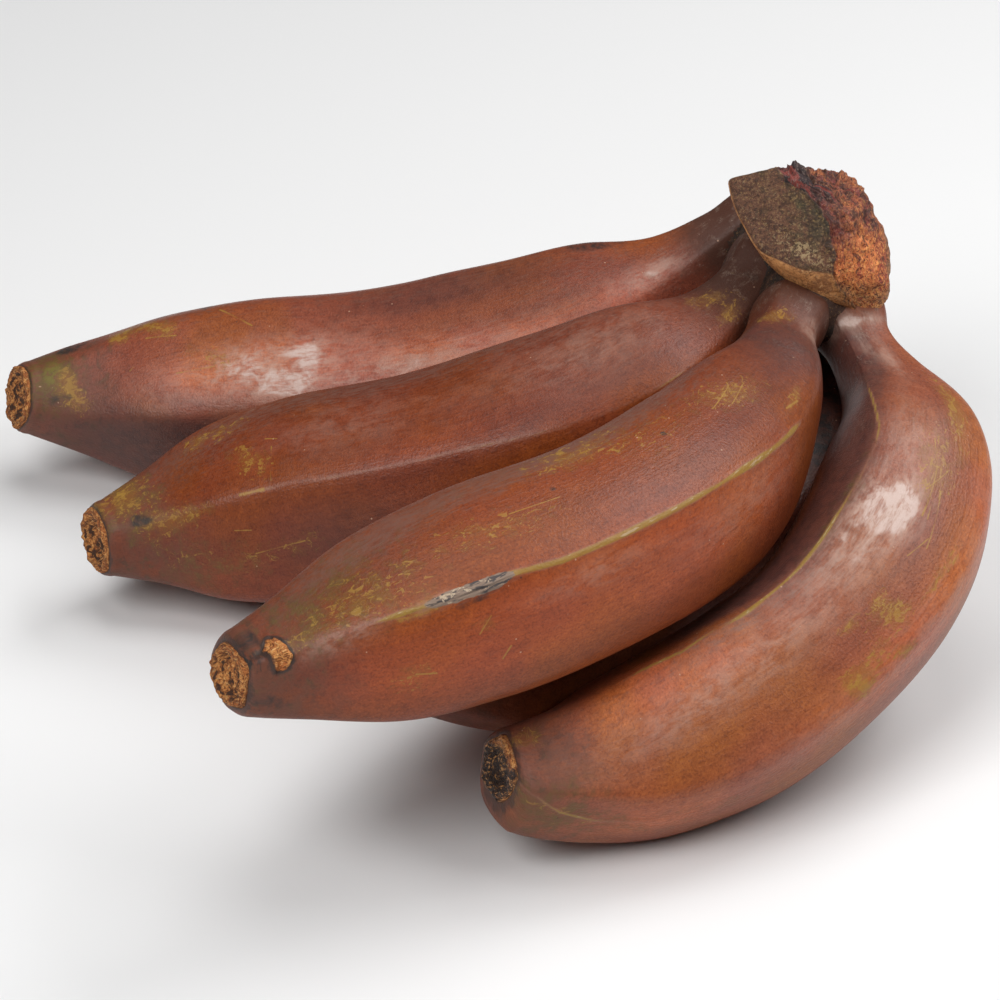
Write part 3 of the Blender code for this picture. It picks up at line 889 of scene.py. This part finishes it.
def banana_skin(name, finger):
    """Satin red skin: clouds of brick, rust and maroon, fine grain and lengthwise streaks."""
    f = Finish(name, Roughness=0.45, IOR=1.4)
    at = f.mark("straight", vector=True)
    share = f.mark("share")
    light, deep, warm = (tuple(np.array(tone) * finger.tint) for tone in (BRICK, MAROON, RUST))

    def drawn_out(along, *noise):
        return f.noise(f.stretch(at, (1, 1, along)), *noise)

    hue = f.noise(at, 42, 1, 0.55)
    shade = drawn_out(0.16, 60, 2, 0.6)
    streak = drawn_out(0.08, 1300, 1, 0.65)
    mottle = f.noise(at, 330, 3, 0.7)
    grain = f.noise(at, 1900, 1, 0.75)
    spread = f.noise(at, 170, 3, 0.7)
    brush = drawn_out(0.22, 1500, 2, 0.7)
    milk = drawn_out(0.6, 300, 2, 0.68, 0.5)

    f.base(light, warm, f.step(hue, 0.4, 0.68))
    f.coat(deep, f.step(shade, 0.42, 0.78) * 0.75)
    f.tint((0.74, 0.68, 0.7), f.step(mottle, 0.48, 0.68) * 0.55)
    f.tint((1.22, 1.3, 1.32), f.step(mottle, 0.48, 0.3) * 0.6)
    f.tint((0.74, 0.68, 0.7), f.step(streak, 0.5, 0.68) * 0.4)
    f.tint((0.66, 0.6, 0.6), f.step(grain, 0.52, 0.68) * 0.7)
    f.tint((1.25, 1.4, 1.45), f.step(grain, 0.46, 0.32) * 0.6)

    # tone: partly the skin's own uneven colour, partly painted light and shade: lighter on lit
    # flanks and in a painted rim light, darker on undersides as painted shade
    tone = f.mark("tone")
    f.tint((1.65, 1.55, 1.45), f.step(tone + spread * 0.3 - 0.15, 0, 1))
    painted_shade_and_dark_skin = f.mix((0.092, 0.036, 0.03), (0.06, 0.028, 0.026), f.step(mottle, 0.42, 0.6))
    f.coat(painted_shade_and_dark_skin, f.step(tone, 0, -1) * 0.85)

    # grey bloom, partly the skin's own and partly painted sheen: the pale surroundings reflected
    # along the upper edges and a painted rim light along some lower ones; wax, thin as milk or
    # thick in crisp patches
    f.coat(BLOOM_AND_SHEEN, f.step(f.mark("bloom_and_sheen") * 0.5 + brush, 0.55, 1.15) * 0.8)
    # painted highlights: the thin milky wax also paints the soft sheen on the bellies, and the
    # thick crisp patches paint the bright highlights
    wax_and_highlight = f.mark("wax_and_highlight")
    thin = wax_and_highlight * (f.step(milk * 0.65 + brush * 0.35, 0.34, 0.64) * 0.75 + 0.1)
    f.coat(WAX_AND_HIGHLIGHT, thin)
    thick = f.step(wax_and_highlight + spread + milk * 0.8, 1.62, 2.05)
    thick = thick * (0.28 + f.step(milk * 0.5 + brush * 0.5, 0.38, 0.6) * 0.5)
    thick = thick * (1 - f.band(milk, 0.5, 0.03) * 0.5)
    f.coat((0.62, 0.475, 0.425), thick)

    # the neck is dark and dusty, the tip brown and olive
    neck = f.step(share + mottle * 0.06 - 0.03, *reversed(finger.neck_ends))
    f.coat(NECK, neck * finger.neck)
    dusty = f.step(brush * 0.4 + mottle * 0.6, 0.5, 0.66)
    f.coat((0.165, 0.1, 0.072), neck * dusty * 0.45)
    scuff = drawn_out(0.6, 620, 3, 0.72, 1)
    rubbed = (f.band(scuff, 0.5, 0.02) + f.step(scuff, 0.64, 0.72)) * f.step(mottle, 0.5, 0.64)
    f.coat((0.36, 0.27, 0.22), rubbed * f.step(share, 0.22, 0.08) * 0.45)
    tip = f.step(share + spread * 0.1, 0.9, 1.02)
    f.coat((0.125, 0.05, 0.033), tip * (0.4 + f.step(spread, 0.35, 0.6) * 0.35))
    f.coat((0.05, 0.03, 0.024), tip * f.step(mottle, 0.54, 0.66) * 0.45)
    olive = f.step((f.mark("olive") + tip * 0.2) * 0.5 + mottle * 0.5 + spread * 0.5, 0.62, 0.95)
    green = f.mix(OLIVE, (0.165, 0.15, 0.02), f.step(f.mark("olive"), 0.8, 1.4))
    f.coat(green, olive * (0.25 + f.step(scuff, 0.4, 0.56) * 0.5))

    # scuffs where the red skin is thin: a yellow stain with blots, short strokes and hooked hairs
    stain = f.mark("fleck")
    f.coat((0.27, 0.125, 0.019), f.step(stain * 0.55 + mottle, 0.66, 1.15) * 0.45)
    hooks = f.noise(f.stretch(at, (1.3, 1.3, 0.8)), 330, 1, 0.5, 1.3)
    lines = f.band(hooks, 0.5, 0.018) * f.step(mottle + stain * 0.3, 0.56, 0.74)
    lines = lines * f.step(stain, 0.1, 0.6)
    blots = f.step(stain * 0.16 + scuff, 0.65, 0.73) * f.step(stain, 0.1, 0.45)
    f.coat(FLECK, lines * 0.5 + blots * 0.6)

    # ridges: pale where they are faint, yellow where they are plain
    keel = f.mark("keel")
    plain = f.step(keel * 0.75 + brush * 0.45 + scuff * 0.45, 0.6, 1.1)
    ridge = f.mix((0.27, 0.115, 0.075), (0.31, 0.2, 0.04), f.step(keel, 0.45, 0.85))
    ridge = f.mix(ridge, (0.46, 0.35, 0.19), f.step(keel * 0.5 + brush, 1.02, 1.14))
    f.coat(ridge, plain * 0.75)
    wobble = mottle * 1.6
    for path in finger.scratches:
        f.coat(FLECK, scratch(f, finger, at, wobble, path) * 0.8)

    # corky grey healed cuts, dark bruises and pin-pricks, pale specks
    cork = f.step(f.mark("cork") * 0.8 + spread * 0.4 + scuff * 0.5, 0.86, 1)
    corky = f.mix((0.25, 0.175, 0.13), (0.07, 0.056, 0.054), f.step(brush, 0.48, 0.6))
    corky = f.mix(corky, (0.52, 0.4, 0.28), f.step(scuff, 0.45, 0.38) * 0.85)
    f.coat(corky, cork)
    bruise = f.step(f.mark("bruise") * 0.8 + spread * 0.8, 0.78, 1.08)
    f.coat(BRUISE, bruise * (0.45 + f.step(mottle, 0.4, 0.6) * 0.45))
    specks(f, at)

    scar, fibre = scarred(f, finger.char)
    rough = 0.34 + grain * 0.14 + neck * 0.15 + tip * 0.15 + wax_and_highlight * 0.08 + cork * 0.2
    rough = rough + scar * (0.4 - 0.6 * finger.char)
    height = streak * 0.2 + grain * 0.25 + f.mark("cork") * streak * 1.6 + scar * fibre * 2.5
    return f.finish(Roughness=rough, Normal=f.bump(height, 0.00035))


def scratch(f, finger, at, wobble, path):
    """Mask of a scratch: the distance to the straight way between two places on the skin."""
    ends, width = [], path[4]
    for share, angle in (path[:2], path[2:4]):
        radius = FULL_RADIUS * finger.girth * float(smooth_between(THICKNESS, np.array([share]))[0])
        a = math.radians(angle)
        place = (radius * math.cos(a), radius * math.sin(a), share * finger.length)
        ends.append(np.array(place) * MM)
    way = ends[1] - ends[0]
    since = f.vector("SUBTRACT", at, tuple(ends[0]))
    along = f.vector("DOT_PRODUCT", since, tuple(way / (way @ way)), output="Value")
    along = f.node("Clamp", {}, {"Value": along})
    back = f.node("VectorMath", {"operation": "SCALE"}, {0: tuple(way), "Scale": along})
    apart = f.vector("DISTANCE", since, back, output="Value")
    return f.step(apart * (1 / (width * MM)) + wobble, 1.9, 0.9)


def specks(f, at):
    """Small round specks at the middles of scattered cells: a few cells have a pale one, fewer a
    dark one, and the rest none."""
    near = f.node("TexVoronoi", {}, {"Vector": at, "Scale": 340, "Randomness": 1}, "Distance")
    pick = f.node("SeparateColor", {}, {0: Wire(f, near.socket.node.outputs["Color"])}, 0)
    speck = f.step(near, 0.084, 0.038)
    f.coat((0.5, 0.3, 0.2), speck * f.step(pick, 0.82, 0.87) * 0.8)
    f.coat((0.05, 0.022, 0.016), speck * f.step(pick, 0.07, 0.03) * 0.8)


def scarred(f, char):
    """The tip's scar: a lumpy tan ring round pitted fibres, and how much of it shows."""
    at = f.mark("end", vector=True)
    scar = f.mark("scar")
    fibre = f.noise(at, 1400, 2, 0.8)
    patch = f.noise(at, 420, 2, 0.65)
    way_in = f.mark("inward") + patch * 0.5
    tone = f.mix(CORK, TAN, f.step(fibre, 0.44, 0.56))
    tone = f.mix(tone, RUSTY, f.step(patch, 0.44, 0.56) * 0.65)
    tone = f.mix(tone, (0.78, 0.48, 0.21), f.step(fibre, 0.57, 0.66) * 0.6)
    tone = f.mix(tone, (0.12, 0.04, 0.018), f.step(fibre, 0.46, 0.38) * 0.75)
    middle = f.step(way_in, 1.4, 1.56)
    tone = f.mix(tone, PITH, middle * f.step(patch + fibre * 0.3, 0.6, 0.7) * 0.9)
    tone = f.mix(tone, PITH, f.band(way_in, 1.36, 0.07) * 0.5)
    unburnt = f.vector("DOT_PRODUCT", at, (0.5, -0.87, 0), output="Value")
    burnt = f.step(way_in, 1.1, 1.3) * f.step(unburnt + patch * 0.002, 0.005, 0.0035) * char
    tone = f.mix(tone, PITH, burnt * f.step(fibre, 0.62, 0.52) * 0.97)
    scab = f.step(f.mark("scab") + patch * 1.2, 1.25, 1.45)
    shown = scar + scab * (1 - scar)
    border = f.step(f.mark("scab") + patch * 0.9, 0.62, 0.9) * (1 - shown)
    crust = f.step(f.mark("inward") + patch * 1.2, 1, 1.4) * (1 - scar)
    f.coat(BRUISE, border * 0.8 + crust * 0.65)
    f.coat(tone, shown)
    return shown, fibre


def cap_bark():
    """Leathery olive-brown panel, orange cut edge and torn, fibrous orange to charcoal face."""
    f = Finish("cap_bark", Roughness=0.7, IOR=1.45)
    at = f.mark("face", vector=True)
    along = f.mark("strand", vector=True)
    across, up, beside = f.axis(at, 0), f.axis(at, 1), f.axis(along, 0)
    blotch = f.noise(at, 170, 4, 0.65, 0.5)
    fine = f.noise(at, 1500, 3, 0.75)
    dots = f.noise(at, 1050, 3, 0.8, 0.4)

    olive = f.step(blotch + across * 15 + up * 12, 0.42, 0.72)
    f.base((0.15, 0.064, 0.034), (0.105, 0.078, 0.03), olive)
    dusk = f.step(f.mark("dusk") * 0.5 + blotch, 0.6, 0.95)
    f.coat((0.055, 0.046, 0.024), dusk * 0.7)
    patchy = f.noise(at, 480, 3, 0.7, 0.6)
    f.tint((0.5, 0.44, 0.42), f.step(patchy, 0.48, 0.6) * 0.8)
    f.coat((0.36, 0.225, 0.085), f.step(fine, 0.45, 0.34) * 0.6)
    f.coat((0.022, 0.015, 0.012), f.step(fine, 0.51, 0.62) * 0.6)
    pale = f.mark("pale")
    dotted = f.step(dots + pale * 0.14, 0.59, 0.69) * (0.35 + pale * 0.4)
    f.coat((0.46, 0.33, 0.17), dotted)
    brown = f.step(blotch * 0.5 + fine * 0.5, 0.46, 0.58)
    edge = f.mix((0.66, 0.31, 0.11), (0.33, 0.14, 0.052), brown)
    edge = f.mix(edge, (0.78, 0.48, 0.22), f.step(dots, 0.56, 0.68) * 0.6)
    f.coat(edge, f.step(f.mark("rim") + fine * 0.3, 0.46, 0.62))
    # painted shade: the cap's under facets are darkened almost to black
    f.coat((0.05, 0.032, 0.022), f.step(f.mark("under"), 0.45, 0.8) * 0.85)

    strand = f.noise(along, 1500, 3, 0.75, 0.5)
    broad = f.noise(along, 300, 2, 0.65, 0.6)
    grit = f.noise(f.stretch(at, (1, 0.5, 1)), 2300, 2, 0.8, 0.6)
    panel = f.colour
    f.base((0.66, 0.185, 0.056), (0.38, 0.07, 0.036), f.step(broad, 0.44, 0.6))
    wine = f.step(beside + blotch * 0.008, 0.012, 0.006)
    wine = wine * f.step(up + blotch * 0.006, -0.005, 0.004)
    upper = f.step(up + blotch * 0.008, 0.001, 0.01) * (0.5 + f.step(broad, 0.36, 0.5) * 0.5)
    wine = wine + (1 - wine) * upper * 0.85
    f.coat((0.2, 0.042, 0.038), wine * 0.9)
    f.coat((0.34, 0.2, 0.18), wine * f.step(dots, 0.54, 0.64) * 0.6)
    f.coat((0.05, 0.026, 0.022), upper * f.step(patchy, 0.42, 0.54) * 0.75)
    f.coat((0.86, 0.42, 0.14), f.step(grit, 0.53, 0.62) * (1 - wine * 0.8) * 0.7)
    low = f.step(up + blotch * 0.006, -0.006, -0.01)
    f.coat((0.8, 0.44, 0.16), low * f.step(fine, 0.4, 0.52) * 0.6)
    f.coat((0.86, 0.34, 0.09), f.step(strand, 0.55, 0.62) * (1 - wine * 0.8) * 0.7)
    f.coat((0.06, 0.018, 0.014), f.step(grit, 0.44, 0.37) * 0.8)
    f.coat((0.045, 0.018, 0.014), f.step(strand, 0.42, 0.34) * 0.8)
    f.coat((0.06, 0.022, 0.016), f.step(patchy, 0.56, 0.64) * 0.75)
    soot = f.mix((0.04, 0.028, 0.03), (0.26, 0.055, 0.042), f.step(broad, 0.5, 0.58))
    soot = f.mix(soot, (0.27, 0.2, 0.17), f.step(grit, 0.55, 0.64) * 0.6)
    soot = f.mix(soot, (0.02, 0.014, 0.014), f.step(patchy, 0.5, 0.58) * 0.7)
    f.coat(soot, f.mark("shaggy") * 0.95)
    brink = f.step(across + up * 0.08 + fine * 0.003, 0.017, 0.0185)
    frayed = f.mix((0.3, 0.17, 0.08), (0.07, 0.04, 0.025), f.step(fine, 0.45, 0.58))
    f.coat(frayed, brink * 0.8)
    f.base(panel, f.colour, f.mark("torn"))
    # painted shadow: a dark line along the groove of the seam
    f.coat((0.035, 0.024, 0.022), f.mark("seam") * f.step(fine, 0.35, 0.6) * 0.7)
    height = fine * 0.5 + dots * 0.5 + (strand * 0.8 + grit * 0.8) * f.mark("torn")
    return f.finish(Roughness=0.45 + fine * 0.4, Normal=f.bump(height, 0.0006))


def cushion_bark():
    """Dark brown, dusty skin where the necks meet."""
    f = Finish("cushion_bark", Roughness=0.7, IOR=1.45)
    at = f.node("TexCoord", {}, {}, "Object")
    blotch = f.noise(at, 140, 3, 0.6, 0.5)
    fine = f.noise(at, 1500, 3, 0.75)
    f.base((0.055, 0.024, 0.015), (0.028, 0.016, 0.011), f.step(blotch, 0.38, 0.62))
    f.coat((0.4, 0.22, 0.09), f.step(fine, 0.57, 0.66) * 0.45)
    return f.finish(Roughness=0.5 + fine * 0.3, Normal=f.bump(fine, 0.0004))


def floor_finish():
    """Plain, pale and dull."""
    f = Finish("floor_paint", Roughness=0.9)
    f.colour = (0.85, 0.85, 0.85)
    return f.finish()


# ---- the scene

for node, finger in FINGERS.items():
    piece = build_finger(node + "_fruit", finger)
    piece.data.materials.append(banana_skin(node + "_skin", finger))
    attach(piece, "root")
    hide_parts(node)

cap = build_cap()
cap.data.materials.append(cap_bark())
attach(cap, "root")
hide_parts("crown")

cushion = build_cushion()
cushion.data.materials.append(cushion_bark())
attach(cushion, "root")

floor_mesh = bpy.data.meshes.new("floor")
floor_mesh.from_pydata([(-3, -3, 0), (3, -3, 0), (3, 3, 0), (-3, 3, 0)], [], [(0, 1, 2, 3)])
floor_mesh.materials.append(floor_finish())
floor = bpy.data.objects.new("floor", floor_mesh)
bpy.context.scene.collection.objects.link(floor)

LAMP_AIM = (0, 0, 0.03)
LAMP_SIZE = 0.5
# The place of each lamp and its power in watts.
LAMPS = {
    "key": ((-0.38, -0.55, 0.77), 5.6),
    "right": ((0.65, -0.17, 0.77), 3.1),
    "back": ((0.55, 0.38, 0.77), 4.4),
    "top": ((0.0, 0.05, 1.03), 2.3),
}
WORLD_STRENGTH = 0.06
CAMERA_RISE = 33
CAMERA_DISTANCE = 0.95
CAMERA_AIM = (0.004, 0.06)
CAMERA_LENS = 147.06


def soft_light(name, place, energy):
    """A square lamp at a place, turned to the hand."""
    lamp = bpy.data.lights.new(name, "AREA")
    lamp.shape = "SQUARE"
    lamp.size = LAMP_SIZE
    lamp.energy = energy
    holder = bpy.data.objects.new(name, lamp)
    bpy.context.scene.collection.objects.link(holder)
    way = np.array(LAMP_AIM) - np.array(place)
    level = math.hypot(way[0], way[1])
    holder.location = place
    holder.rotation_euler = (math.atan2(level, -way[2]), 0, math.atan2(-way[0], way[1]))


for name, (place, energy) in LAMPS.items():
    soft_light(name, place, energy)

world = bpy.data.worlds.new("studio")
bpy.context.scene.world = world
world.use_nodes = True
sky = world.node_tree.nodes["Background"].inputs
sky["Color"].default_value = (1, 1, 1, 1)
sky["Strength"].default_value = WORLD_STRENGTH
bpy.context.scene.view_settings.view_transform = "Standard"

camera = bpy.data.cameras.new("camera")
camera.sensor_width = 36
camera.lens = CAMERA_LENS
camera.clip_start = 0.01
holder = bpy.data.objects.new("camera", camera)
bpy.context.scene.collection.objects.link(holder)
rise = math.radians(CAMERA_RISE)
away, height = CAMERA_DISTANCE * math.cos(rise), CAMERA_DISTANCE * math.sin(rise)
holder.location = (CAMERA_AIM[0], CAMERA_AIM[1] - away, height)
holder.rotation_euler = (math.pi / 2 - rise, 0, 0)
bpy.context.scene.camera = holder
